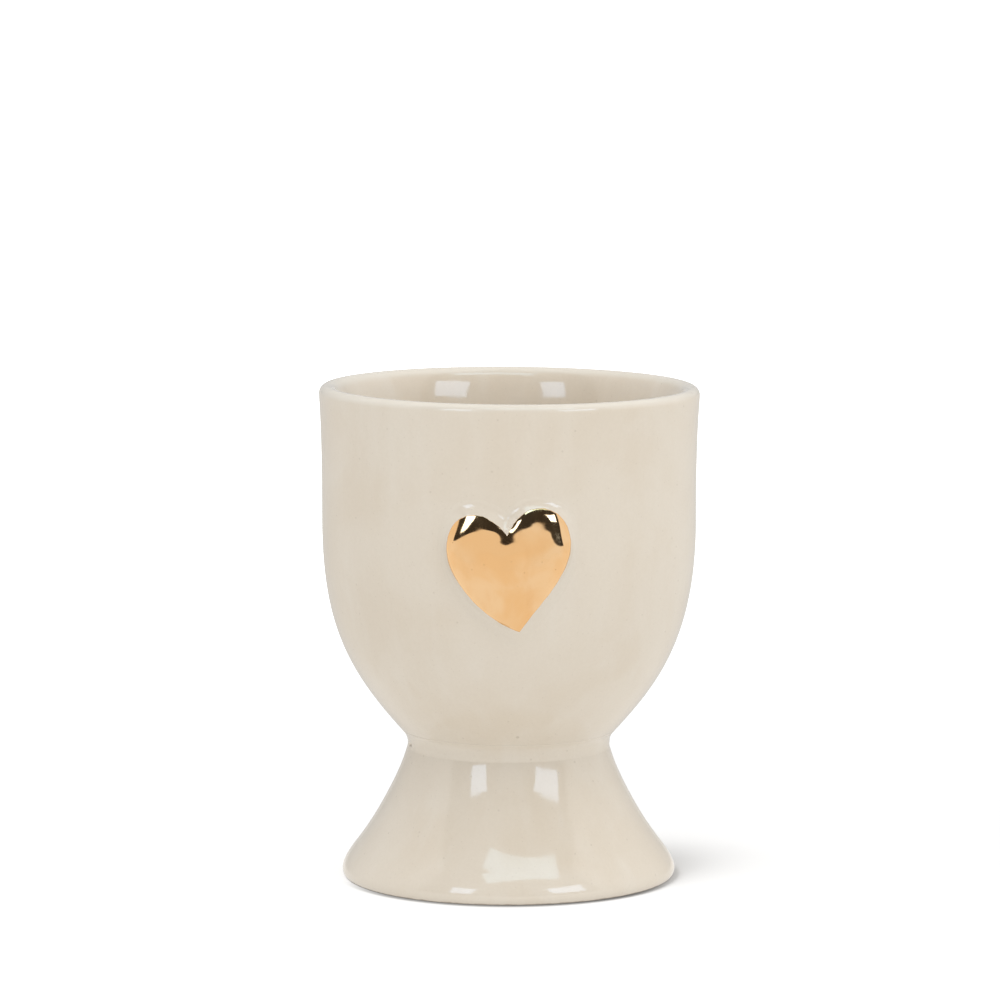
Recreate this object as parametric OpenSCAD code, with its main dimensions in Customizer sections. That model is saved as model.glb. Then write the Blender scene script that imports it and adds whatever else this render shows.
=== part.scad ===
// Footed egg cup: a U-shaped bowl luted onto a flared, hollow foot, with a
// raised heart on the front of the bowl whose face is gilded.
// Millimetres. +Z is up, the origin is the centre of the foot on the table,
// and the heart faces -Y.

/* [Bowl] */
// Outer diameter over the lip
rim_d = 50.1; // [47:0.1:53]
// Overall height, from the table to the crest of the lip
cup_h = 65.2; // [63:0.1:68]
// Outer diameter of the upright part of the wall
belly_d = 49.35; // [47:0.05:51]
// Wall thickness of the upright part
wall = 3.9; // [3.2:0.1:4.4]
// Thickness of the clay under the middle of the bowl
floor_t = 4; // [3:0.1:5]
// Radius of the outer half of the lip
lip_out_r = 1.05; // [0.8:0.05:1.2]
// Radius of the inner half of the lip
lip_in_r = 1.6; // [1.4:0.05:1.8]

/* [Waist] */
// Diameter where the bowl meets the layer of slip
waist_d = 25.9; // [24:0.1:27.5]
// Height of the bowl's flat underside
waist_z = 18.2; // [17:0.1:19]
// Thickness of the layer of slip
slip_t = 0.6; // [0.4:0.1:0.8]
// Radius of the hollow that a finger leaves in the slip around the waist
slip_r = 2.4; // [2.2:0.1:2.8]

/* [Foot] */
// Outer diameter of the foot
foot_d = 44.2; // [42:0.1:46]
// Width of the flat ring that stands on the table
ring_w = 1.6; // [1.2:0.1:2]
// Thickness of the web that closes the top of the foot
web_t = 3.4; // [2.8:0.1:4]

/* [Heart] */
// Width of the gilded face, measured round the bowl
heart_w = 15.5; // [12:0.1:17]
// Height of the gilded face
heart_h = 16; // [12:0.1:16.5]
// Height of the middle of the heart above the table
heart_z = 45; // [44:0.1:46]
// How far the middle of the heart stands out from the wall
heart_rise = 2; // [1.6:0.1:2.6]
// Thickness of the gilded skin
gilt_t = 0.1; // [0.08:0.01:0.2]

/* [Hidden] */
turn_fn = 96;

// ---- curves -------------------------------------------------------------
function mix(a, b, t) = a + (b - a) * t;
function bez(p, t) = pow(1 - t, 3) * p[0] + 3 * pow(1 - t, 2) * t * p[1]
    + 3 * (1 - t) * t * t * p[2] + t * t * t * p[3];
// n points along a Bezier curve, without its last one
function run(p, n) = [for (i = [0:n - 1]) bez(p, i / n)];
// n points on an arc about c, without its last one
function arc(c, r, a0, a1, n) = [for (i = [0:n - 1])
    let (a = mix(a0, a1, i / n)) c + r * [cos(a), sin(a)]];

// ---- bowl ---------------------------------------------------------------
belly_r = belly_d / 2;
rim_r = rim_d / 2;
belly_z = 48;
lip_z = cup_h - 2.6;
crest_r = rim_r - lip_out_r;
in_r = belly_r - wall;
floor_z = waist_z + floor_t;

// outside, from the waist up to the lip
out_low = [[waist_d / 2, waist_z], [waist_d / 2 + 8.55, waist_z + 9.1],
    [belly_r - 0.02, belly_z - 14.5], [belly_r - 0.02, belly_z]];
out_high = [[belly_r - 0.02, belly_z], [belly_r + 0.02, belly_z + 7],
    [rim_r - 0.3, lip_z - 3], [rim_r, lip_z + 1.2]];

// the inner half of the lip rolls over until its surface leans back 33 deg
lean = 33;
roll_end = [crest_r - lip_in_r * cos(lean), cup_h - lip_in_r + lip_in_r * sin(lean)];
in_high = [roll_end, roll_end - 0.7 * [sin(lean), cos(lean)],
    [in_r, cup_h - 4.1], [in_r, cup_h - 10.7]];
in_low = [[in_r, cup_h - 10.7], [in_r, 31], [14, floor_z], [0, floor_z]];

bowl_outline = concat([[0, waist_z]], run(out_low, 26), run(out_high, 10),
    arc([crest_r, cup_h - lip_out_r], lip_out_r, 0, 90, 8),
    arc([crest_r, cup_h - lip_in_r], lip_in_r, 90, 180 - lean, 8),
    run(in_high, 10), run(in_low, 26), [[0, floor_z]]);

// outer radius of the bowl at height z, for what is laid on the wall
function out_r(z, a = 0, b = 1, n = 22) = z > belly_z ? belly_r - 0.02
    : n == 0 ? bez(out_low, (a + b) / 2)[0]
    : let (m = (a + b) / 2) bez(out_low, m)[1] < z
        ? out_r(z, m, b, n - 1) : out_r(z, a, m, n - 1);

// ---- foot ---------------------------------------------------------------
foot_r = foot_d / 2;
top_z = waist_z - slip_t;
top_r = waist_d / 2 + 0.35;
knee = [foot_r - 1.8, 4.2];
edge_z = 0.9;
ring_out = foot_r - 0.7;
ring_in = ring_out - ring_w;

flare = [[top_r, top_z], [top_r + 1.05, top_z - 4], knee + [-3.1, 4], knee];
skirt = [knee, knee + [0.9, -1.15], [foot_r, edge_z + 0.8], [foot_r, edge_z]];
toe = [[foot_r, edge_z], [foot_r, 0.35], [foot_r - 0.25, 0], [ring_out, 0]];
heel = [[ring_in, 0], [ring_in - 0.35, 0], [ring_in - 0.6, 0.25], [ring_in - 0.8, 0.6]];
vault = [[ring_in - 0.8, 0.6], [ring_in - 4.8, 4.8],
    [12.8, top_z - web_t], [0, top_z - web_t]];

foot_outline = concat([[0, top_z]], run(flare, 18), run(skirt, 8), run(toe, 6),
    [[ring_out, 0]], run(heel, 5), run(vault, 24), [[0, top_z - web_t]]);

// ---- slip at the waist --------------------------------------------------
// The bead's hollow is a circle that touches the bowl's and the foot's walls:
// its centre lies slip_r from both, measured along their normals.
slip_top = out_low[0];
slip_low = flare[0];
along_bowl = out_low[1] - out_low[0];
along_foot = flare[0] - flare[1];
n_bowl = [along_bowl[1], -along_bowl[0]] / norm(along_bowl);
n_foot = [along_foot[1], -along_foot[0]] / norm(along_foot);
reach_bowl = slip_r + n_bowl * slip_top;
reach_foot = slip_r + n_foot * slip_low;
slip_det = n_bowl[0] * n_foot[1] - n_bowl[1] * n_foot[0];
slip_c = [reach_bowl * n_foot[1] - reach_foot * n_bowl[1],
    n_bowl[0] * reach_foot - n_foot[0] * reach_bowl] / slip_det;

// ---- heart --------------------------------------------------------------
// Round the outline in six curves, as [distance round the bowl, height] from
// the middle of the heart: cleft, left lobe, left side, right side, right lobe.
gilt_curves = [
    [[-0.3, 3.65], [-1.2, 4.9], [-2.7, 6.15], [-4.4, 6.15]],
    [[-4.4, 6.15], [-6.6, 6.15], [-7.85, 4.4], [-7.85, 2]],
    [[-7.85, 2], [-7.85, -2.4], [-3.4, -7.1], [1.35, -9]],
    [[1.35, -9], [3.4, -6], [7.65, -1.6], [7.65, 2.6]],
    [[7.65, 2.6], [7.65, 5.3], [6, 7.05], [3.6, 7.05]],
    [[3.6, 7.05], [2.1, 7.05], [0.9, 6.1], [-0.3, 3.65]]];
// the clay runs on past the gilding: most over the lobes and in the cleft
clay_curves = [
    [[-0.3, 5.4], [-1.1, 6.9], [-2.7, 8], [-4.6, 8]],
    [[-4.6, 8], [-7.3, 8], [-8.6, 5.2], [-8.6, 2]],
    [[-8.6, 2], [-8.6, -2.8], [-3.9, -7.8], [1.45, -9.9]],
    [[1.45, -9.9], [4, -6.6], [8.4, -2], [8.4, 2.6]],
    [[8.4, 2.6], [8.4, 6.2], [6.6, 8.6], [3.7, 8.6]],
    [[3.7, 8.6], [1.6, 8.6], [0.3, 7.6], [-0.3, 5.4]]];
per_curve = 10;
around = 6 * per_curve;
gilt_line = [for (c = gilt_curves) each run(c, per_curve)];
clay_line = [for (c = clay_curves) each run(c, per_curve)];
heart_sx = heart_w / 15.5;
heart_sz = heart_h / 16;

// a point at distance s round the bowl and height z, standing out by h
function on_wall(s, z, h) = let (r = out_r(z) + h, a = s / belly_r * 180 / PI)
    [r * sin(a), -r * cos(a), z];
edge_h = 0.9;
// rings: [share of the way from clay line to gilt line, share of the way from
// gilt line to the middle, height]
function dome(v) = edge_h + (heart_rise - edge_h) * (1 - pow(1 - v, 3));
clay_rings = [[0, 0, -0.3], [0.15, 0, 0.12], [0.55, 0, 0.55]];
face_steps = [0, 0.07, 0.16, 0.28, 0.44, 0.64, 0.82];
gilt_rings = [for (v = face_steps) [1, v, dome(v)]];
function ring_points(k, lift) = [for (i = [0:around - 1])
    let (p = mix(mix(clay_line[i], gilt_line[i], k[0]), [0, 0], k[1]))
    on_wall(p[0] * heart_sx, heart_z + p[1] * heart_sz, k[2] + lift)];
function ring_set(rings, lift) = [for (k = rings) each ring_points(k, lift)];
// two triangles for each step of each band between rings, clockwise as seen
// from outside
function bands(n, from = 0, flip = false) = [for (k = [0:n - 2]) for (i = [0:around - 1])
    let (a = from + k * around + i, b = from + k * around + (i + 1) % around,
        c = a + around, d = b + around)
    each (flip ? [[a, b, c], [b, d, c]] : [[a, c, b], [b, c, d]])];
function cap(first, tip, flip = false) = [for (i = [0:around - 1])
    flip ? [first + i, first + (i + 1) % around, tip]
        : [first + i, tip, first + (i + 1) % around]];

// ---- the pieces ---------------------------------------------------------
module bowl() {
    color([0.86, 0.82, 0.74])
    rotate_extrude($fn = turn_fn) polygon(bowl_outline);
}

module foot() {
    color([0.87, 0.83, 0.75])
    rotate_extrude($fn = turn_fn) polygon(foot_outline);
}

// the slip that joins them: a disc between the two flat faces, and the bead
// that squeezed out of the joint and was smoothed round with a fingertip
module luting_slip() {
    color([0.83, 0.79, 0.71])
    rotate_extrude($fn = turn_fn) difference() {
        polygon([[0, top_z], [0, waist_z], slip_top - [1, 0],
            slip_c - slip_r * n_bowl, slip_c - slip_r * n_foot,
            slip_low - [1, 0]]);
        polygon(bowl_outline);
        polygon(foot_outline);
        translate(slip_c - [0.05, 0]) circle(r = slip_r, $fn = 96);
    }
}

module heart_relief() {
    rings = concat(clay_rings, gilt_rings);
    n = len(rings);
    points = concat(ring_set(rings, 0), [on_wall(0, heart_z, dome(1)),
        on_wall(0, heart_z, -0.6)]);
    tip = n * around;
    color([0.88, 0.84, 0.76])
    difference() {
        polyhedron(points, concat(bands(n), cap((n - 1) * around, tip),
            cap(0, tip + 1, true)), convexity = 6);
        rotate_extrude($fn = turn_fn) polygon(bowl_outline);
    }
}

module heart_gilding() {
    n = len(gilt_rings);
    points = concat(ring_set(gilt_rings, gilt_t), ring_set(gilt_rings, 0),
        [on_wall(0, heart_z, dome(1) + gilt_t), on_wall(0, heart_z, dome(1))]);
    low = n * around;
    rim = [for (i = [0:around - 1]) let (j = (i + 1) % around)
        each [[low + i, i, low + j], [low + j, i, j]]];
    color([0.86, 0.66, 0.42])
    polyhedron(points, concat(bands(n), cap((n - 1) * around, 2 * low),
        bands(n, low, true), cap(low + (n - 1) * around, 2 * low + 1, true), rim),
        convexity = 6);
}

bowl();
foot();
luting_slip();
heart_relief();
heart_gilding();
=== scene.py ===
# Footed egg cup of cream-glazed clay, with a raised heart whose face is gold
# lustre. Lengths below are in millimetres and are turned into metres when a
# mesh is made. The heart faces -Y and +Z is up.
import math

import bpy
import numpy as np
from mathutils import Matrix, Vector


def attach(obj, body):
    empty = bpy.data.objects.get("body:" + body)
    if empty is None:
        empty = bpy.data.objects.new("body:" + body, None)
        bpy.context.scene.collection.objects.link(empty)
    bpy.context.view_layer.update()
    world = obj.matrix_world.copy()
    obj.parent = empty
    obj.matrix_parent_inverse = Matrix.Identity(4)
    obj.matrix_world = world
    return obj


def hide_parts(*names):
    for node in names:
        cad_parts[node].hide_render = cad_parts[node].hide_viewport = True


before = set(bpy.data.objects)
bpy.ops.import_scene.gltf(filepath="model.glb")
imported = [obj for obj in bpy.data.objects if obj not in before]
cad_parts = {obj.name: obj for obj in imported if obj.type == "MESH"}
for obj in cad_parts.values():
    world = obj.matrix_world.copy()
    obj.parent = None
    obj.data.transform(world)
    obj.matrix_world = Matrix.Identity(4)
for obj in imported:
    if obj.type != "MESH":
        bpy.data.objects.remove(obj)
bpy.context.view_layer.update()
scene = bpy.context.scene
MM = 0.001

# ---- camera ---------------------------------------------------------------
cam_data = bpy.data.cameras.new("camera")
cam_data.lens = 187.13
cam_data.sensor_width = 36.0
cam_data.clip_start = 0.01
cam_data.clip_end = 50.0
camera = bpy.data.objects.new("camera", cam_data)
camera.location = (-0.00112, -0.680, 0.1365)
camera.rotation_euler = (math.radians(90.0 - 7.254), 0.0, 0.0)
scene.collection.objects.link(camera)
scene.camera = camera


# ---- curves ---------------------------------------------------------------
def mix(a, b, t):
    return a + (b - a) * t


def bez(p, t):
    p = np.asarray(p, float)
    t = np.asarray(t, float)[:, None]
    return (
        (1 - t) ** 3 * p[0]
        + 3 * (1 - t) ** 2 * t * p[1]
        + 3 * (1 - t) * t * t * p[2]
        + t**3 * p[3]
    )


def run(p, n):
    """n points along a Bezier curve, without its last one."""
    return bez(p, np.arange(n) / n)


def arc(c, r, a0, a1, n):
    """n points on an arc about c, without its last one."""
    a = np.radians(mix(a0, a1, np.arange(n) / n))
    return np.stack([c[0] + r * np.cos(a), c[1] + r * np.sin(a)], 1)


def smooth(x, lo, hi):
    t = np.clip((np.asarray(x, float) - lo) / (hi - lo), 0, 1)
    return t * t * (3 - 2 * t)


def waves(seed, length, count=24):
    """A smooth random field of (x, y, z) whose bumps are about length across
    and whose spread is 1."""
    rng = np.random.RandomState(seed)
    k = rng.normal(size=(count, 3))
    k /= np.linalg.norm(k, axis=1)[:, None]
    k *= (2 * math.pi / length) * rng.uniform(0.6, 1.4, size=(count, 1))
    phase = rng.uniform(0, 2 * math.pi, count)

    def field(x, y, z):
        total = np.zeros(np.broadcast(x, y, z).shape)
        for (kx, ky, kz), f in zip(k, phase):
            total += np.sin(kx * x + ky * y + kz * z + f)
        return total * math.sqrt(2.0 / count)

    return field


# ---- sizes, as in the construction model ----------------------------------
rim_r = 50.1 / 2
belly_r = 49.35 / 2
cup_h = 65.2
wall = 3.9
waist_r = 25.9 / 2
waist_z = 18.2
slip_t = 0.6
slip_r = 2.4
foot_r = 44.2 / 2
ring_w = 1.6
web_t = 3.4
lip_out_r = 1.05
lip_in_r = 1.6
heart_z = 45.0

belly_z = 48.0
lip_z = cup_h - 2.6
crest_r = rim_r - lip_out_r
in_r = belly_r - wall
floor_z = waist_z + 4.0
out_low = [
    (waist_r, waist_z),
    (waist_r + 8.55, waist_z + 9.1),
    (belly_r - 0.02, belly_z - 14.5),
    (belly_r - 0.02, belly_z),
]
out_high = [
    (belly_r - 0.02, belly_z),
    (belly_r + 0.02, belly_z + 7),
    (rim_r - 0.3, lip_z - 3),
    (rim_r, lip_z + 1.2),
]
lean_in = math.radians(33)
roll_end = (
    crest_r - lip_in_r * math.cos(lean_in),
    cup_h - lip_in_r + lip_in_r * math.sin(lean_in),
)
in_high = [
    roll_end,
    (roll_end[0] - 0.7 * math.sin(lean_in), roll_end[1] - 0.7 * math.cos(lean_in)),
    (in_r, cup_h - 4.1),
    (in_r, cup_h - 10.7),
]
in_low = [(in_r, cup_h - 10.7), (in_r, 31), (14, floor_z), (0, floor_z)]

top_z = waist_z - slip_t
top_r = waist_r + 0.35
knee = (foot_r - 1.8, 4.2)
edge_z = 0.9
ring_out = foot_r - 0.7
ring_in = ring_out - ring_w
flare = [(top_r, top_z), (top_r + 1.05, top_z - 4), (knee[0] - 3.1, knee[1] + 4), knee]
skirt = [knee, (knee[0] + 0.9, knee[1] - 1.15), (foot_r, edge_z + 0.8), (foot_r, edge_z)]
toe = [(foot_r, edge_z), (foot_r, 0.35), (foot_r - 0.25, 0), (ring_out, 0)]
heel = [(ring_in, 0), (ring_in - 0.35, 0), (ring_in - 0.6, 0.25), (ring_in - 0.8, 0.6)]
vault = [(ring_in - 0.8, 0.6), (ring_in - 4.8, 4.8), (12.8, top_z - web_t), (0, top_z - web_t)]

# ---- the hand-made irregularities -----------------------------------------
swell = waves(11, 17.0)
ripple = waves(12, 6.0)
foot_swell = waves(21, 15.0)
foot_ripple = waves(22, 5.5)


def bowl_wobble(a, r, z):
    """How far the bowl's wall stands out from its true circle."""
    x, y = r * np.sin(a), -r * np.cos(a)
    w = 0.045 * np.cos(2 * (a - 0.9)) + 0.02 * np.cos(3 * (a + 0.5) + z / 17)
    w = w + 0.016 * swell(x, y, z) + 0.0022 * ripple(x, y, z)
    return w * smooth(r, 2, 12) * smooth(z, 17.5, 24)


def foot_wobble(a, r, z):
    x, y = r * np.sin(a), -r * np.cos(a)
    w = 0.04 * np.cos(2 * (a + 0.4)) + 0.015 * np.cos(3 * (a - 1.2))
    w = w + 0.011 * foot_swell(x, y, z) + 0.003 * foot_ripple(x, y, z)
    w = w * smooth(r, 2, 12) * (1 - smooth(z, 14, 17.6) * 0.7)
    # the thumb that drew the flare out pressed it fuller in front
    fuller = np.exp(-(((z - 10.2) / 2.9) ** 2)) * (0.5 + 0.5 * np.cos(a)) ** 2
    return w + 0.16 * fuller * smooth(r, 14.0, 15.0)


BOWL_LEAN = math.radians(0.17)
RIM_TILT = 0.0025


def lean(p, share=1.0):
    """The bowl was luted on a touch out of true: it leans to +X, and its lip
    was cut a little lower on that side."""
    x, z = p[:, 0].copy(), p[:, 2].copy()
    t = BOWL_LEAN * share
    up = z - waist_z
    q = p.copy()
    q[:, 0] = x * np.cos(t) + up * np.sin(t)
    q[:, 2] = waist_z - x * np.sin(t) + up * np.cos(t)
    q[:, 2] -= RIM_TILT * x * smooth(z, 54, 64.5) * share
    return q


# ---- meshes ---------------------------------------------------------------
def make_mesh(name, points, faces, material, sharp=None):
    """points in millimetres; faces is a list of index arrays, quads or triangles."""
    mesh = bpy.data.meshes.new(name)
    points = np.asarray(points, np.float64) * MM
    loops = np.concatenate([np.asarray(f, np.int32).ravel() for f in faces])
    sizes = np.concatenate([np.full(len(f), np.asarray(f).shape[1], np.int32) for f in faces])
    starts = np.concatenate([[0], np.cumsum(sizes)[:-1]]).astype(np.int32)
    mesh.vertices.add(len(points))
    mesh.vertices.foreach_set("co", points.astype(np.float32).ravel())
    mesh.loops.add(len(loops))
    mesh.loops.foreach_set("vertex_index", loops)
    mesh.polygons.add(len(sizes))
    mesh.polygons.foreach_set("loop_start", starts)
    mesh.update(calc_edges=True)
    mesh.validate()
    mesh.polygons.foreach_set("use_smooth", np.ones(len(mesh.polygons), bool))
    mesh.materials.append(material)
    obj = bpy.data.objects.new(name, mesh)
    scene.collection.objects.link(obj)
    return obj


def lathe(name, outline, wobble, material, turns=384, after=None):
    """Turns an outline that starts and ends on the axis. The outline runs
    counter-clockwise in (r, z), so the faces look outwards."""
    outline = np.asarray(outline, float)
    first, last, body = outline[0], outline[-1], outline[1:-1]
    a = np.arange(turns) * (2 * math.pi / turns)
    r = body[:, 0][:, None]
    z = body[:, 1][:, None] + np.zeros((1, turns))
    rr = r + wobble(a[None, :], r, z)
    p = np.stack([rr * np.sin(a), -rr * np.cos(a), z], 2).reshape(-1, 3)
    p = np.concatenate([p, [[0, 0, first[1]], [0, 0, last[1]]]])
    if after is not None:
        p = after(p)
    n = len(body)
    i = np.arange(n - 1)[:, None] * turns
    j = np.arange(turns)[None, :]
    k = (j + 1) % turns
    quads = np.stack([i + j, i + k, i + turns + k, i + turns + j], 2).reshape(-1, 4)
    j, k = j.ravel(), k.ravel()
    low = np.stack([np.full(turns, n * turns), k, j], 1)
    end = (n - 1) * turns
    high = np.stack([end + j, end + k, np.full(turns, n * turns + 1)], 1)
    return make_mesh(name, p, [quads, low, high], material)


def link(tree, a, b):
    tree.links.new(a, b)


class Nodes:
    """Short ways to add the nodes of a material."""

    def __init__(self, tree):
        self.tree = tree

    def add(self, kind, **values):
        n = self.tree.nodes.new(kind)
        for k, v in values.items():
            setattr(n, k, v)
        return n

    def put(self, socket, value):
        if isinstance(value, bpy.types.NodeSocket):
            self.tree.links.new(value, socket)
        elif value is not None:
            socket.default_value = value

    def math(self, op, a, b=None, c=None, clamp=False):
        n = self.add("ShaderNodeMath", operation=op, use_clamp=clamp)
        self.put(n.inputs[0], a)
        self.put(n.inputs[1], b)
        self.put(n.inputs[2], c)
        return n.outputs[0]

    def ramp(self, value, lo, hi, out_lo=0.0, out_hi=1.0, kind="SMOOTHSTEP"):
        n = self.add("ShaderNodeMapRange", interpolation_type=kind, clamp=True)
        self.put(n.inputs["Value"], value)
        n.inputs["From Min"].default_value = lo
        n.inputs["From Max"].default_value = hi
        n.inputs["To Min"].default_value = out_lo
        n.inputs["To Max"].default_value = out_hi
        return n.outputs["Result"]

    def colour(self, fac, a, b, blend="MIX"):
        n = self.add("ShaderNodeMix", data_type="RGBA", blend_type=blend)
        n.clamp_factor = True
        self.put(n.inputs[0], fac)
        self.put(n.inputs[6], a)
        self.put(n.inputs[7], b)
        return n.outputs[2]

    def blend(self, fac, a, b):
        n = self.add("ShaderNodeMix", data_type="FLOAT")
        self.put(n.inputs[0], fac)
        self.put(n.inputs[2], a)
        self.put(n.inputs[3], b)
        return n.outputs[0]

    def place(self):
        return self.add("ShaderNodeTexCoord").outputs["Object"]

    def split(self, vector):
        n = self.add("ShaderNodeSeparateXYZ")
        self.put(n.inputs[0], vector)
        return n.outputs

    def scaled(self, vector, scale):
        n = self.add("ShaderNodeMapping")
        self.put(n.inputs["Vector"], vector)
        n.inputs["Scale"].default_value = scale
        return n.outputs[0]

    def noise(self, vector, scale, detail=2.0, rough=0.5, distortion=0.0):
        n = self.add("ShaderNodeTexNoise", noise_dimensions="3D")
        self.put(n.inputs["Vector"], vector)
        n.inputs["Scale"].default_value = scale
        n.inputs["Detail"].default_value = detail
        n.inputs["Roughness"].default_value = rough
        n.inputs["Distortion"].default_value = distortion
        return n.outputs[0]

    def cells(self, vector, scale, randomness=1.0):
        n = self.add("ShaderNodeTexVoronoi", voronoi_dimensions="3D", feature="F1")
        self.put(n.inputs["Vector"], vector)
        n.inputs["Scale"].default_value = scale
        n.inputs["Randomness"].default_value = randomness
        return n.outputs["Distance"], n.outputs["Color"]

    def bump(self, height, distance, strength=1.0, normal=None):
        n = self.add("ShaderNodeBump")
        n.inputs["Strength"].default_value = strength
        n.inputs["Distance"].default_value = distance
        self.put(n.inputs["Height"], height)
        self.put(n.inputs["Normal"], normal)
        return n.outputs[0]


def start_material(name):
    m = bpy.data.materials.new(name)
    m.use_nodes = True
    tree = m.node_tree
    tree.nodes.clear()
    nodes = Nodes(tree)
    shader = nodes.add("ShaderNodeBsdfPrincipled")
    out = nodes.add("ShaderNodeOutputMaterial")
    tree.links.new(shader.outputs[0], out.inputs[0])
    return m, nodes, shader


CREAM = (0.735, 0.666, 0.566)
CREAM_WARM = (0.712, 0.634, 0.525)
CREAM_PALE = (0.762, 0.706, 0.618)
SPECK = (0.30, 0.235, 0.165)
# bare clay of the foot ring: partly its own colour, partly painted shadow, made darker to draw the shadow
# line under the foot
BARE_CLAY_AND_SHADOW = (0.46, 0.40, 0.335)
BARE_CLAY_AND_SHADOW_DARK = (0.37, 0.31, 0.25)


def rgba(c):
    return (c[0], c[1], c[2], 1.0)


def glaze(name, bare_below=None, crease=False, tone=1.0, lip=None):
    """Clear, slightly uneven glaze over cream clay: cloudy tone, faint
    upright runs, fine grain, dark iron specks with pinholes. Below the height
    bare_below (in metres) the clay is bare."""
    m, n, shader = start_material(name)
    at = n.place()
    axis = n.split(at)
    cloud = n.noise(at, 75.0, 4.0, 0.55, 0.6)
    runs = n.noise(n.scaled(at, (1.0, 1.0, 0.16)), 240.0, 3.0, 0.5)
    grain = n.noise(at, 2600.0, 2.0, 0.6)
    patch = n.noise(at, 330.0, 3.0, 0.6)
    base = n.colour(n.ramp(cloud, 0.36, 0.66), rgba(CREAM), rgba(CREAM_WARM))
    base = n.colour(n.ramp(runs, 0.48, 0.78, 0.0, 0.42), base, rgba(CREAM_PALE))
    base = n.colour(n.ramp(patch, 0.30, 0.62, 0.10, 0.0), base, rgba(CREAM_WARM))
    base = n.colour(n.ramp(grain, 0.25, 0.75, 0.045, 0.0), base, (0.42, 0.34, 0.25, 1.0))
    near, _ = n.cells(at, 430.0)
    speck = n.ramp(near, 0.030, 0.085, 1.0, 0.0)
    near2, _ = n.cells(at, 120.0)
    big = n.ramp(near2, 0.016, 0.036, 1.0, 0.0)
    dust_near, _ = n.cells(at, 1150.0)
    dust = n.ramp(dust_near, 0.06, 0.14, 1.0, 0.0)
    base = n.colour(n.math("MULTIPLY", dust, 0.10), base, rgba(SPECK))
    base = n.colour(n.math("MULTIPLY", speck, 0.16), base, rgba(SPECK))
    base = n.colour(n.math("MULTIPLY", big, 0.28), base, rgba(SPECK))
    rough = n.ramp(patch, 0.30, 0.70, 0.055, 0.105)
    rough = n.math("ADD", rough, n.math("MULTIPLY", speck, 0.12))
    peel = n.noise(at, 520.0, 2.0, 0.45)
    height = n.math("MULTIPLY", peel, 0.0000055)
    height = n.math("MULTIPLY_ADD", speck, -0.000014, height)
    height = n.math("MULTIPLY_ADD", big, -0.00003, height)
    if crease:
        # painted shade: dark blotches darken the crease where the bowl meets the foot
        line = n.noise(n.scaled(at, (1.0, 1.0, 2.2)), 900.0, 3.0, 0.6)
        base = n.colour(n.ramp(line, 0.60, 0.80, 0.0, 0.10), base, rgba(SPECK))
    if bare_below is not None:
        edge = n.noise(at, 700.0, 2.0, 0.6)
        level = n.math("MULTIPLY_ADD", edge, 0.00035, bare_below - 0.000175)
        above = n.math("SUBTRACT", axis[2], level)
        bare = n.ramp(above, -0.00006, 0.00005, 1.0, 0.0)
        grit = n.noise(at, 1900.0, 4.0, 0.7)
        # the bare ring's colour is partly real clay and partly painted shadow along the foot's bottom edge
        clay = n.colour(n.ramp(grit, 0.35, 0.70), rgba(BARE_CLAY_AND_SHADOW), rgba(BARE_CLAY_AND_SHADOW_DARK))
        base = n.colour(bare, base, clay)
        rough = n.blend(bare, rough, 0.82)
        height = n.blend(bare, height, n.math("MULTIPLY", grit, 0.00006))
    if lip is not None:
        # painted highlight: the top of the lip is painted paler and bluer, standing in for the reflection
        # along the crest
        lip_highlight = n.ramp(axis[2], lip - 0.0011, lip - 0.0003, 0.0, 0.6)
        base = n.colour(lip_highlight, base, (0.725, 0.688, 0.618, 1.0))
    # tone scales the colour; on the slip bead it is painted light
    if tone != 1.0:
        base = n.colour(1.0, base, (tone, tone, tone, 1.0), "MULTIPLY")
    n.put(shader.inputs["Base Color"], base)
    n.put(shader.inputs["Roughness"], rough)
    n.put(shader.inputs["Normal"], n.bump(height, 1.0))
    shader.inputs["IOR"].default_value = 1.5
    return m


GOLD = (0.87, 0.525, 0.245)
GOLD_PALE = (0.90, 0.60, 0.33)
GOLD_DEEP = (0.80, 0.44, 0.18)


def lustre(name):
    """Bright gold lustre brushed over the glaze: nearly a mirror, with soft
    brush clouds, a finer grain and a few pinholes."""
    m, n, shader = start_material(name)
    at = n.place()
    cloud = n.noise(at, 160.0, 3.0, 0.5, 0.8)
    brush = n.noise(n.scaled(at, (1.0, 1.0, 0.35)), 620.0, 3.0, 0.55)
    grain = n.noise(at, 3800.0, 2.0, 0.6)
    base = n.colour(n.ramp(cloud, 0.34, 0.70), rgba(GOLD), rgba(GOLD_PALE))
    base = n.colour(n.ramp(brush, 0.46, 0.78, 0.0, 0.30), base, rgba(GOLD_DEEP))
    near, _ = n.cells(at, 700.0)
    hole = n.ramp(near, 0.03, 0.07, 1.0, 0.0)
    base = n.colour(n.math("MULTIPLY", hole, 0.45), base, (0.42, 0.20, 0.08, 1.0))
    rough = n.ramp(brush, 0.30, 0.75, 0.045, 0.12)
    rough = n.math("MULTIPLY_ADD", hole, 0.15, rough)
    height = n.math("MULTIPLY", cloud, 0.000012)
    height = n.math("MULTIPLY_ADD", brush, 0.0000022, height)
    height = n.math("MULTIPLY_ADD", grain, 0.00000012, height)
    n.put(shader.inputs["Base Color"], base)
    n.put(shader.inputs["Roughness"], rough)
    n.put(shader.inputs["Normal"], n.bump(height, 1.0))
    shader.inputs["Metallic"].default_value = 1.0
    return m


cream = glaze("cream_glaze", lip=cup_h * MM)
foot_cream = glaze("foot_glaze", bare_below=0.00018)
# painted light: the slip bead's glaze is made 3.5 % lighter to lift the shade that falls in the crease
slip_cream = glaze("slip_glaze", crease=True, tone=1.035)
relief_cream = glaze("relief_glaze")
gold = lustre("gold_lustre")


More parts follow.
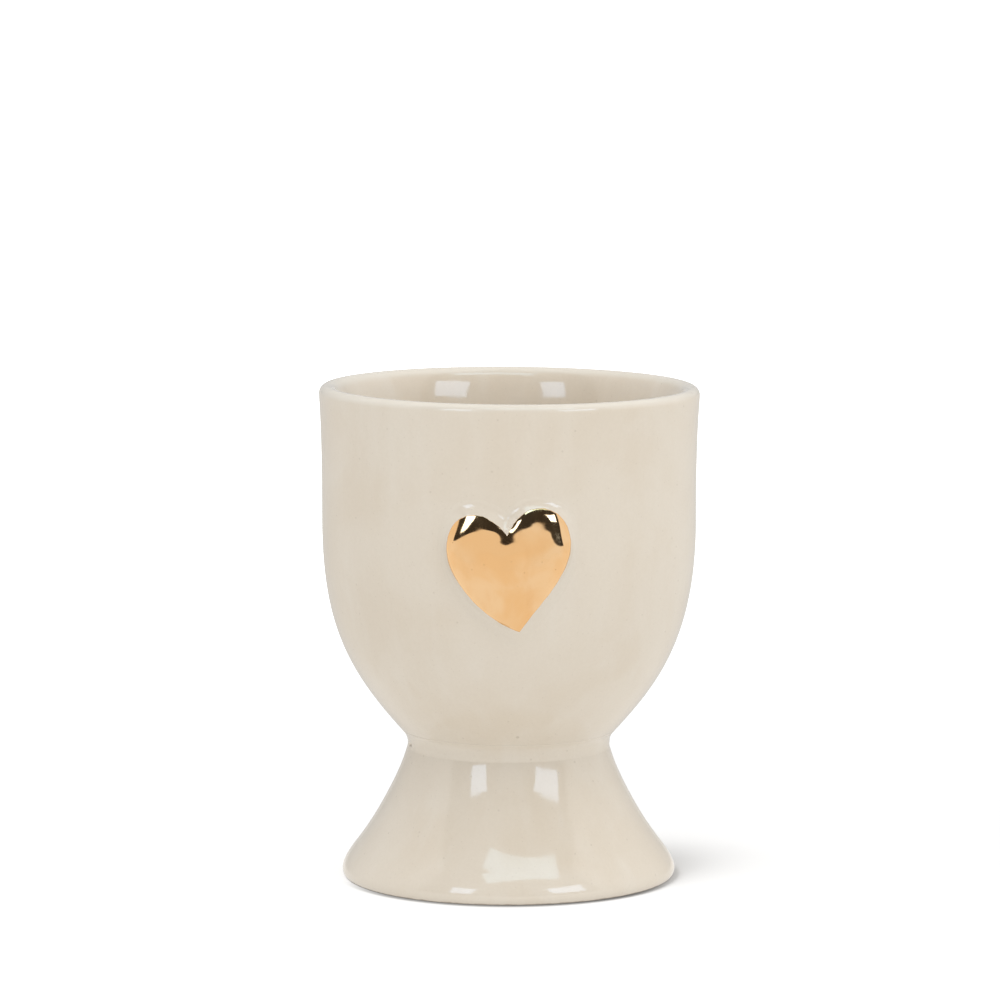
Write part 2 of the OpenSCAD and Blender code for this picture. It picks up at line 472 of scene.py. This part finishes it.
# ---- bowl -----------------------------------------------------------------
bowl_outline = np.concatenate(
    [
        [(0, waist_z), (4, waist_z), (8, waist_z), (11, waist_z), (12.4, waist_z)],
        run(out_low, 70),
        run(out_high, 30),
        arc((crest_r, cup_h - lip_out_r), lip_out_r, 0, 90, 16),
        arc((crest_r, cup_h - lip_in_r), lip_in_r, 90, 147, 16),
        run(in_high, 28),
        run(in_low, 64),
        [(0, floor_z)],
    ]
)
bowl = lathe("bowl_glazed", bowl_outline, bowl_wobble, cream, after=lean)

# ---- foot -----------------------------------------------------------------
foot_outline = np.concatenate(
    [
        [(0, top_z), (5, top_z), (10, top_z), (12.6, top_z)],
        run(flare, 64),
        run(skirt, 22),
        run(toe, 14),
        [(ring_out, 0), (mix(ring_out, ring_in, 0.5), 0)],
        run(heel, 12),
        run(vault, 60),
        [(0, top_z - web_t)],
    ]
)
foot = lathe("foot_glazed", foot_outline[::-1], foot_wobble, foot_cream)

# ---- slip bead at the waist -----------------------------------------------
n_bowl = np.array([9.1, -8.55]) / math.hypot(8.55, 9.1)
run_foot = np.array([flare[0][0] - flare[1][0], flare[0][1] - flare[1][1]])
n_foot = np.array([run_foot[1], -run_foot[0]]) / np.linalg.norm(run_foot)
slip_c = np.linalg.solve(
    np.array([n_bowl, n_foot]),
    [slip_r + n_bowl @ np.array(out_low[0]), slip_r + n_foot @ np.array(flare[0])],
)
a_low = math.degrees(math.atan2(-n_foot[1], -n_foot[0])) % 360
a_high = math.degrees(math.atan2(-n_bowl[1], -n_bowl[0])) % 360


def slip_bead(name, material, turns=384):
    turn = np.radians(np.linspace(a_low, a_high, 49))
    hollow = np.stack([slip_c[0] + slip_r * np.cos(turn), slip_c[1] + slip_r * np.sin(turn)], 1)
    # a skin thin as a hair where the bead runs out onto the walls
    hollow = hollow + 0.004 * np.array([1.0, 0.0])
    low_end, high_end = hollow[0], hollow[-1]
    along_foot = -run_foot / np.linalg.norm(run_foot)
    along_bowl = np.array([8.55, 9.1]) / math.hypot(8.55, 9.1)
    tails = np.array([0.35, 0.2, 0.1, 0.04])[:, None]
    low_tail = low_end + along_foot * tails - n_foot * (0.02 * tails)
    high_tail = (high_end + along_bowl * tails - n_bowl * (0.02 * tails))[::-1]
    outline = np.concatenate(
        [
            [(11.5, top_z + 0.02), low_tail[0] - n_foot * 0.8],
            low_tail,
            hollow,
            high_tail,
            [high_tail[-1] - n_bowl * 0.8, (11.5, waist_z - 0.02)],
        ]
    )
    a = np.arange(turns) * (2 * math.pi / turns)
    r = outline[:, 0][:, None]
    z = outline[:, 1][:, None] + np.zeros((1, turns))
    share = smooth(z, low_end[1] + 0.05, high_end[1] - 0.05)
    x, y = r * np.sin(a), -r * np.cos(a)
    w = foot_wobble(a[None, :], r, z) * (1 - share) + bowl_wobble(a[None, :], r, z) * share
    # finger marks in the crease, and a chip beside the silhouette on the left
    w = w + 0.03 * waves(31, 7.0)(x, y, z) * np.exp(-(((z - 17.9) / 0.45) ** 2))
    side = math.radians(-77)
    gap = (a[None, :] - side + math.pi) % (2 * math.pi) - math.pi
    chip = np.exp(-((gap * 13.3 / 0.42) ** 2) - ((z - 17.65) / 0.26) ** 2)
    w = w - 0.42 * chip
    rr = r + w
    p = np.stack([rr * np.sin(a), -rr * np.cos(a), z], 2).reshape(-1, 3)
    whole = lean(p)
    s = share.reshape(-1)[:, None]
    p = p * (1 - s) + whole * s
    n = len(outline)
    i = np.arange(n)[:, None]
    i2 = (i + 1) % n
    j = np.arange(turns)[None, :]
    k = (j + 1) % turns
    quads = np.stack([i * turns + j, i * turns + k, i2 * turns + k, i2 * turns + j], 2)
    return make_mesh(name, p, [quads.reshape(-1, 4)], material)


slip = slip_bead("slip_bead", slip_cream)

# ---- heart ----------------------------------------------------------------
# Outlines as [distance round the bowl, height] from the middle of the heart.
gilt_curves = [
    [(-0.3, 3.65), (-1.2, 4.9), (-2.7, 6.15), (-4.4, 6.15)],
    [(-4.4, 6.15), (-6.6, 6.15), (-7.85, 4.4), (-7.85, 2)],
    [(-7.85, 2), (-7.85, -2.4), (-3.4, -7.1), (1.35, -9)],
    [(1.35, -9), (3.4, -6), (7.65, -1.6), (7.65, 2.6)],
    [(7.65, 2.6), (7.65, 5.3), (6, 7.05), (3.6, 7.05)],
    [(3.6, 7.05), (2.1, 7.05), (0.9, 6.1), (-0.3, 3.65)],
]
clay_curves = [
    [(-0.3, 4.9), (-1.1, 6.5), (-2.7, 7.4), (-4.6, 7.4)],
    [(-4.6, 7.4), (-7.3, 7.4), (-8.6, 5.2), (-8.6, 2)],
    [(-8.6, 2), (-8.6, -2.8), (-3.9, -7.8), (1.45, -9.9)],
    [(1.45, -9.9), (4, -6.6), (8.4, -2), (8.4, 2.6)],
    [(8.4, 2.6), (8.4, 6.2), (6.6, 7.7), (3.7, 7.7)],
    [(3.7, 7.7), (1.6, 7.7), (0.3, 7.0), (-0.3, 4.9)],
]
PER_CURVE = 90
gilt_line = np.concatenate([run(c, PER_CURVE) for c in gilt_curves])
clay_line = np.concatenate([run(c, PER_CURVE) for c in clay_curves])

CELL = 0.12
grid_x = np.arange(-11.0, 11.0 + CELL / 2, CELL)
grid_y = np.arange(-12.4, 10.6 + CELL / 2, CELL)
GX, GY = np.meshgrid(grid_x, grid_y)


def inside(line, x, y):
    hit = np.zeros(x.shape, bool)
    for (x0, y0), (x1, y1) in zip(line, np.roll(line, -1, 0)):
        if y0 != y1:
            hit ^= ((y0 > y) != (y1 > y)) & (x < (x1 - x0) * (y - y0) / (y1 - y0) + x0)
    return hit


def pillow(mask, push, reach_x, reach_y, rounds=300, pace=1.9):
    """Height of a skin held down along the edge of mask and pushed up from
    below: it rises over the distances reach_x and reach_y, and is flat
    further in."""
    u = np.zeros(mask.shape)
    ax, ay = (reach_x / CELL) ** 2, (reach_y / CELL) ** 2
    rows, cols = np.indices(mask.shape)
    halves = [mask & ((rows + cols) % 2 == k) for k in (0, 1)]
    for _ in range(rounds):
        for half in halves:
            v = np.zeros_like(u)
            v[1:-1, 1:-1] = (
                ay * (u[2:, 1:-1] + u[:-2, 1:-1])
                + ax * (u[1:-1, 2:] + u[1:-1, :-2])
                + push[1:-1, 1:-1]
            ) / (1 + 2 * ax + 2 * ay)
            u[half] += pace * (v[half] - u[half])
    return np.maximum(u, 0)


def blurred(a, spread):
    n = int(math.ceil(3.5 * spread))
    k = np.exp(-0.5 * (np.arange(-n, n + 1) / spread) ** 2)
    k /= k.sum()
    for way in (0, 1):
        p = np.moveaxis(a, way, 0)
        q = np.pad(p, ((n, n), (0, 0)))
        p = sum(k[i] * q[i : i + p.shape[0]] for i in range(2 * n + 1))
        a = np.moveaxis(p, 0, way)
    return a


HEART_RISE = 2.2
clay_area = inside(clay_line[::3], GX, GY)
skin = pillow(clay_area, 1 - 0.2 * smooth(GY, -1, 7), 1.2, 2.8)
plain_h = HEART_RISE * blurred(skin**0.9, 0.45 / CELL)

# The maker's thumbs shaped the lobes: (across, up, slope) where the surface
# should climb (going up) or climb (going right) by that slope. The fold is the
# line where the face turns over into the lobes' upper edges.
fold_marks = [
    (-6.78, 2.75, -0.23), (-5.85, 3.18, -0.20), (-4.78, 3.96, -0.20), (-3.57, 4.24, -0.20),
    (-2.35, 4.21, -0.20), (-1.75, 3.90, -0.20), (-1.14, 3.02, -0.20), (-0.54, 2.28, -0.20),
    (0.30, 3.04, -0.20), (1.25, 4.18, -0.20), (2.22, 4.99, -0.20), (3.20, 5.22, -0.20),
    (4.17, 5.08, -0.20), (4.90, 4.76, -0.22), (5.43, 4.11, -0.25), (5.95, 2.97, -0.28),
]
up_marks = [
    (-5.18, 4.54, -0.28), (-4.69, 4.65, -0.28), (-4.65, 5.94, -0.45), (4.62, 6.39, -0.46),
    (5.03, 5.09, -0.28), (3.01, 6.68, -0.60), (3.76, 6.67, -0.61), (-1.15, -6.85, 0.14),
    (-2.38, -5.94, 0.10), (-3.57, -4.64, 0.10), (0.78, 4.91, -0.40), (-0.17, -1.27, -0.06),
    (-2.90, -0.68, -0.06), (3.02, -0.64, -0.06), (-0.16, -4.61, -0.06), (-4.73, 2.07, -0.11),
    (-2.56, 2.51, -0.11), (3.04, 3.16, -0.12), (4.83, 2.12, -0.11), (-0.17, 0.39, -0.11),
    (2.19, 2.17, -0.10), (3.64, 2.13, -0.10), (4.58, 0.60, -0.08), (2.42, 0.39, -0.09),
    (-3.75, 1.08, -0.08), (-5.65, 0.54, -0.10), (-0.16, -6.04, -0.01), (0.46, -6.97, 0.14),
]
side_marks = [
    (-6.85, 2.75, 0.33), (-6.67, 3.75, 0.32), (-6.47, 4.50, 0.32), (-6.03, 5.51, 0.32),
    (6.35, 2.94, -0.36), (6.16, 4.32, -0.36), (5.91, 5.58, -0.34), (5.52, 6.33, -0.30),
    (-5.80, 4.48, 0.10), (-5.61, 5.29, 0.10), (-5.15, 5.86, 0.11), (-4.45, 4.72, 0.01),
    (-4.14, 5.89, 0.01), (4.23, 6.31, -0.03), (4.56, 5.63, -0.04), (5.16, 5.07, -0.02),
    (4.93, 6.35, -0.18), (5.40, 5.79, -0.20), (5.68, 5.22, -0.21), (1.27, 5.66, 0.32),
    (0.54, 4.41, 0.32), (-1.55, 5.36, -0.36), (3.64, 2.13, -0.06), (-4.13, 1.83, 0.04),
    (1.83, 2.55, -0.01), (-2.09, 2.52, 0.02), (-0.17, -1.27, -0.01), (-2.90, 0.60, 0.04),
    (3.02, 0.63, -0.05),
]
high_marks = [
    (-0.17, 0.39, 1.90), (-4.74, 2.45, 1.65), (-0.16, -4.61, 1.80), (0.34, -6.70, 1.30),
    (-1.14, -6.45, 1.40), (-2.37, -5.54, 1.60),
]


def sample(field, x, y):
    """Smooth (cubic) reading of a field on the heart's grid."""
    fx = (x - grid_x[0]) / CELL
    fy = (y - grid_y[0]) / CELL
    ix = np.clip(np.floor(fx).astype(int), 1, len(grid_x) - 3)
    iy = np.clip(np.floor(fy).astype(int), 1, len(grid_y) - 3)
    tx, ty = fx - ix, fy - iy

    def weights(t):
        return [
            -0.5 * t + t**2 - 0.5 * t**3,
            1 - 2.5 * t**2 + 1.5 * t**3,
            0.5 * t + 2 * t**2 - 1.5 * t**3,
            -0.5 * t**2 + 0.5 * t**3,
        ]

    wx, wy = weights(tx), weights(ty)
    total = 0
    for i in range(4):
        for j in range(4):
            total = total + wy[i] * wx[j] * field[iy + i - 1, ix + j - 1]
    return total


def thumbed(height, spacing=1.7, spread=1.5, stiff=0.007):
    """The height field with soft dabs added until its slopes agree with the
    marks as well as a smooth surface can."""
    edge = blurred(np.clip(skin / skin.max() / 0.45, 0, 1) * clay_area, 0.35 / CELL)
    dabs = []
    for cy in np.arange(-7, 8.6, spacing):
        for cx in np.arange(-8, 8.1, spacing):
            if inside(clay_line[::3], np.array([[cx]]), np.array([[cy]]))[0, 0]:
                far = (GX - cx) ** 2 + (GY - cy) ** 2
                dabs.append(edge * np.exp(-far / (2 * spread**2)))
    rows, goals = [], []
    for marks, way, firm in ((fold_marks, 0, 4.0), (up_marks, 0, 1.0), (side_marks, 1, 1.0)):
        x, y, goal = np.array(marks).T
        slopes = [sample(np.gradient(d, CELL, axis=way), x, y) for d in dabs]
        rows.append(firm * np.stack(slopes, 1))
        goals.append(firm * (goal - sample(np.gradient(height, CELL, axis=way), x, y)))
    x, y, goal = np.array(high_marks).T
    rows.append(0.25 * np.stack([sample(d, x, y) for d in dabs], 1))
    goals.append(0.25 * (goal - sample(height, x, y)))
    a, b = np.concatenate(rows), np.concatenate(goals)
    amount = np.linalg.solve(a.T @ a + stiff * np.eye(len(dabs)), a.T @ b)
    return height + np.tensordot(amount, np.array(dabs), 1)


dents = waves(41, 3.4)
fine_dents = waves(42, 1.5)
relief_h = thumbed(plain_h)
relief_h = relief_h * (
    1 + 0.0045 * dents(GX, GY, 0 * GX) + 0.0012 * fine_dents(GX, GY, 0 * GX)
)

wall_line = np.concatenate([run(out_low, 400), run(out_high, 200), [out_high[-1]]])


def on_wall(s, z, h):
    """A point at distance s round the bowl and height z (from the middle of
    the heart), standing out from the wall by h."""
    z = heart_z + z
    a = s / belly_r
    r = np.interp(z, wall_line[:, 1], wall_line[:, 0])
    r = r + bowl_wobble(a, r, z) + h
    return np.stack([r * np.sin(a), -r * np.cos(a), z], -1)


def grown(line, by):
    """The line moved outwards by a distance, or by one for each point."""
    t = np.roll(line, -1, 0) - np.roll(line, 1, 0)
    t /= np.linalg.norm(t, axis=1)[:, None]
    out = np.stack([t[:, 1], -t[:, 0]], 1)
    return line + by * out


def ring_mesh(name, edge, centre, steps, height, floor_h, material):
    """A shell over the area inside edge: rings from the edge to the middle,
    closed behind by a floor at floor_h from the wall."""
    around = len(edge)
    flat = [edge + (centre - edge) * v for v in steps]
    flat = np.stack(flat)
    s, z = flat[..., 0], flat[..., 1]
    top = on_wall(s, z, height(s, z))
    back = on_wall(s[:1], z[:1], floor_h + 0 * s[:1])
    mid = np.array([[centre[0], centre[1]]])
    mid_top = on_wall(mid[:, 0], mid[:, 1], height(mid[:, 0], mid[:, 1]))
    mid_back = on_wall(mid[:, 0], mid[:, 1], floor_h + np.zeros(1))
    p = np.concatenate([back.reshape(-1, 3), top.reshape(-1, 3), mid_top, mid_back])
    rows = len(steps) + 1
    i = np.arange(rows - 1)[:, None] * around
    j = np.arange(around)[None, :]
    k = (j + 1) % around
    quads = np.stack([i + j, i + around + j, i + around + k, i + k], 2).reshape(-1, 4)
    j, k = j.ravel(), k.ravel()
    last = (rows - 1) * around
    n = rows * around
    fan = np.stack([last + j, np.full(around, n), last + k], 1)
    under = np.stack([j, k, np.full(around, n + 1)], 1)
    return make_mesh(name, lean(p), [quads, fan, under], material)


def relief_height(s, z):
    return sample(relief_h, s, z)


def clay_height(s, z):
    """The clay runs out onto the wall, and its edge is sunk just below it."""
    h = relief_height(s, z)
    return h + 0.002 - 0.03 * (1 - smooth(h, 0.0, 0.02))


centre = np.array([0.0, -0.6])
apron_curves = [
    [(-0.3, 7.2), (-1.2, 8.3), (-2.7, 8.9), (-4.6, 8.9)],
    [(-4.6, 8.9), (-8.2, 8.9), (-10.1, 5.8), (-10.1, 2)],
    [(-10.1, 2), (-10.1, -3.4), (-4.8, -9), (1.5, -11.6)],
    [(1.5, -11.6), (4.9, -7.6), (9.9, -2.5), (9.9, 2.6)],
    [(9.9, 2.6), (9.9, 6.9), (7.4, 9.2), (3.7, 9.2)],
    [(3.7, 9.2), (1.8, 9.2), (0.2, 8.4), (-0.3, 7.2)],
]
apron = np.concatenate([run(c, PER_CURVE) for c in apron_curves])
relief_steps = 1 - np.linspace(1, 0.02, 120) ** 0.9
relief = ring_mesh(
    "heart_clay", apron, centre, relief_steps, clay_height, -0.6, relief_cream
)

turn = np.arange(len(gilt_line)) / len(gilt_line) * 2 * math.pi
shaky = np.random.RandomState(51)
edge_noise = sum(
    shaky.normal() * np.cos(k * turn) / k**0.7 + shaky.normal() * np.sin(k * turn) / k**0.7
    for k in range(5, 60)
)
gilt_edge = grown(gilt_line, 0) + (grown(gilt_line, 1.0) - gilt_line) * (
    0.020 * edge_noise / edge_noise.std()
)[:, None]
gilt_steps = 1 - np.linspace(1, 0.02, 110) ** 0.9
gilding = ring_mesh(
    "heart_gold", gilt_edge, centre, gilt_steps, lambda s, z: relief_height(s, z) + 0.022, 0.0,
    gold,
)

# ---- what each piece stands for -------------------------------------------
for piece, node, slot in (
    (bowl, "bowl", "cream_glaze"),
    (foot, "foot", "foot_glaze"),
    (slip, "luting_slip", "slip_glaze"),
    (relief, "heart_relief", "relief_glaze"),
    (gilding, "heart_gilding", "gold_lustre"),
):
    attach(piece, "root")
    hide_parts(node)

# ---- floor ----------------------------------------------------------------
# The camera sees white paper with a soft shadow. What the glaze and the gold
# mirror, and what lights the cup from below, are set beside it.
FLOOR_LIT = 0.55
FLOOR_SEEN = 0.11
FLOOR_BOUNCE = 1.01
floor_mat = bpy.data.materials.new("pale_floor")
floor_mat.use_nodes = True
ft = floor_mat.node_tree
ft.nodes.clear()
fn = Nodes(ft)


def side_level(n, front):
    """Brightness of the pale room, from in front of the cup (front = 1) round
    to behind it (front = -1)."""
    near = n.ramp(front, math.cos(math.radians(75)), 1.0, 0.98, 0.94)
    return n.math("MULTIPLY", near, n.ramp(front, -1.0, -0.45, 0.68, 1.0))


f_out = fn.add("ShaderNodeOutputMaterial")
f_path = fn.add("ShaderNodeLightPath").outputs
f_dif = fn.add("ShaderNodeBsdfDiffuse")
f_emi = fn.add("ShaderNodeEmission")
f_sum = fn.add("ShaderNodeAddShader")
ft.links.new(f_dif.outputs[0], f_sum.inputs[0])
ft.links.new(f_emi.outputs[0], f_sum.inputs[1])
fx, fy, fz = fn.split(fn.place())
f_len = fn.math("SQRT", fn.math("ADD", fn.math("MULTIPLY", fx, fx), fn.math("MULTIPLY", fy, fy)))
f_front = fn.math("DIVIDE", fn.math("MULTIPLY", fy, -1.0), fn.math("MAXIMUM", f_len, 0.0001))
# the paper is in the foot's own shade right beside the ring it stands on
f_near = fn.ramp(f_len, (foot_r + 0.1) * MM, (foot_r + 1.1) * MM, 1.0, 0.0, "SMOOTHSTEP")
f_near = fn.math("MULTIPLY", f_near, fn.ramp(f_front, 0.2, 0.75, 0.0, 1.0))
f_white = fn.math("SUBTRACT", 1.0, fn.math("MULTIPLY", f_near, 0.45))
fn.put(f_dif.inputs["Color"], fn.colour(f_near, (FLOOR_LIT,) * 3 + (1,), (0.22, 0.215, 0.21, 1)))
fn.put(f_emi.inputs["Strength"], fn.math("MULTIPLY", fn.ramp(f_len, 0.06, 0.35, FLOOR_SEEN, 1.1), f_white))
f_other = fn.add("ShaderNodeEmission")
f_other.inputs["Color"].default_value = (1.0, 0.985, 0.96, 1)
f_mirror = fn.math("MULTIPLY", side_level(fn, f_front), fn.ramp(f_len, 0.14, 1.6, 1.02, 1.0))
f_level = fn.blend(f_path["Is Glossy Ray"], FLOOR_BOUNCE, f_mirror)
f_level.node.name = "bounce"
f_level = fn.math("MULTIPLY", f_level, fn.ramp(f_len, (foot_r - 0.3) * MM, (foot_r + 0.8) * MM, 0.8, 1.0))
fn.put(f_other.inputs["Strength"], f_level)
f_mix = fn.add("ShaderNodeMixShader")
fn.put(f_mix.inputs[0], f_path["Is Camera Ray"])
ft.links.new(f_other.outputs[0], f_mix.inputs[1])
ft.links.new(f_sum.outputs[0], f_mix.inputs[2])
ft.links.new(f_mix.outputs[0], f_out.inputs[0])
bpy.ops.mesh.primitive_circle_add(vertices=96, radius=12.0, fill_type="NGON", location=(0, 0, -0.00001))
floor = bpy.context.object
floor.name = "floor"
floor.data.materials.append(floor_mat)

# ---- light ----------------------------------------------------------------
DOME_LEFT, DOME_RIGHT, DOME_FRONT = 0.56, 0.97, 0.85
world = bpy.data.worlds.new("studio")
scene.world = world
world.use_nodes = True
wt = world.node_tree
wt.nodes.clear()
wn = Nodes(wt)
way = wn.add("ShaderNodeTexCoord").outputs["Generated"]
wx, wy, wz = wn.split(way)
flat_len = wn.math("SQRT", wn.math("ADD", wn.math("MULTIPLY", wx, wx), wn.math("MULTIPLY", wy, wy)))
front = wn.math("DIVIDE", wn.math("MULTIPLY", wy, -1.0), wn.math("MAXIMUM", flat_len, 0.0001))
# the dim part of the room in front of the cup, above the table
dim_az = wn.ramp(front, math.cos(math.radians(69.5)), math.cos(math.radians(66.5)))
dim_el = wn.ramp(wz, math.sin(math.radians(13.3)), math.sin(math.radians(14.7)))
dim = wn.math("MULTIPLY", dim_az, dim_el)
behind = wn.ramp(front, -1.0, -0.5, 0.8, 1.0)
mirrored = wn.blend(dim, wn.math("MULTIPLY", side_level(wn, front), behind), 0.045)
w_path = wn.add("ShaderNodeLightPath").outputs
sides = wn.ramp(wx, -0.9, 0.9, DOME_LEFT, DOME_RIGHT, "LINEAR")
sides.node.name = "dome_sides"
diffused = wn.blend(dim, sides, DOME_FRONT)
diffused.node.name = "dome_front"
level = wn.blend(w_path["Is Glossy Ray"], diffused, mirrored)
level.node.name = "dome"
level = wn.blend(w_path["Is Camera Ray"], level, 1.08)
back = wn.add("ShaderNodeBackground")
back.inputs["Color"].default_value = (1.0, 1.0, 1.0, 1)
wn.put(back.inputs["Strength"], level)
w_out = wn.add("ShaderNodeOutputWorld")
wt.links.new(back.outputs[0], w_out.inputs[0])

AIM = Vector((0, 0, 0.035))
cup_lit = bpy.data.collections.new("cup_lit")
for piece in (bowl, foot, slip, relief, gilding):
    cup_lit.objects.link(piece)
floor_lit = bpy.data.collections.new("floor_lit")
floor_lit.objects.link(floor)
foot_only = bpy.data.collections.new("foot_only")
foot_only.objects.link(foot)


def soft_light(name, az, el, wide, high, radiance, dist=1.1, mirrored=False, colour=(1, 1, 1)):
    """A rectangular light that looks at the cup. az is from the front (-Y)
    towards +X and el is above the horizon; wide and high are its angles. It is
    either seen in the glaze and the gold, or lights the clay."""
    w = 2 * dist * math.tan(math.radians(wide / 2))
    h = 2 * dist * math.tan(math.radians(high / 2))
    data = bpy.data.lights.new(name, "AREA")
    data.shape = "RECTANGLE"
    data.size, data.size_y = w, h
    data.energy = math.pi * w * h * radiance
    data.color = colour
    obj = bpy.data.objects.new(name, data)
    a, e = math.radians(az), math.radians(el)
    way = Vector((math.sin(a) * math.cos(e), -math.cos(a) * math.cos(e), math.sin(e)))
    obj.location = AIM + way * dist
    obj.rotation_euler = (-way).to_track_quat("-Z", "Y").to_euler()
    obj.visible_glossy = mirrored
    obj.visible_diffuse = not mirrored
    obj.light_linking.receiver_collection = cup_lit
    scene.collection.objects.link(obj)
    return obj


# daylight through two windows and, higher up, a long pane: bluish and bright
DAY = (0.72, 0.92, 1.20)
soft_light("window_left", -34.0, 30.5, 18 * 0.86, 17, 4.4, mirrored=True, colour=DAY)
soft_light("window_right", 44.3, 30.5, 26.5 * 0.86, 17, 4.4, mirrored=True, colour=DAY)
soft_light("panel_high", 15, 60.5, 41, 11.0, 2.9, mirrored=True, colour=(0.62, 0.95, 1.15))
soft_light("glow_high", 8, 60, 40, 20, 0.75)
soft_light("fill_top", 0, 82, 60, 60, 1.15)
shadow_light = soft_light("shadow_left", -60, 50, 30, 34, 13.6)
shadow_light.light_linking.receiver_collection = floor_lit
shadow_light.light_linking.blocker_collection = foot_only

scene.view_settings.view_transform = "Standard"
scene.view_settings.look = "None"
scene.view_settings.exposure = 0.0
scene.view_settings.gamma = 1.0
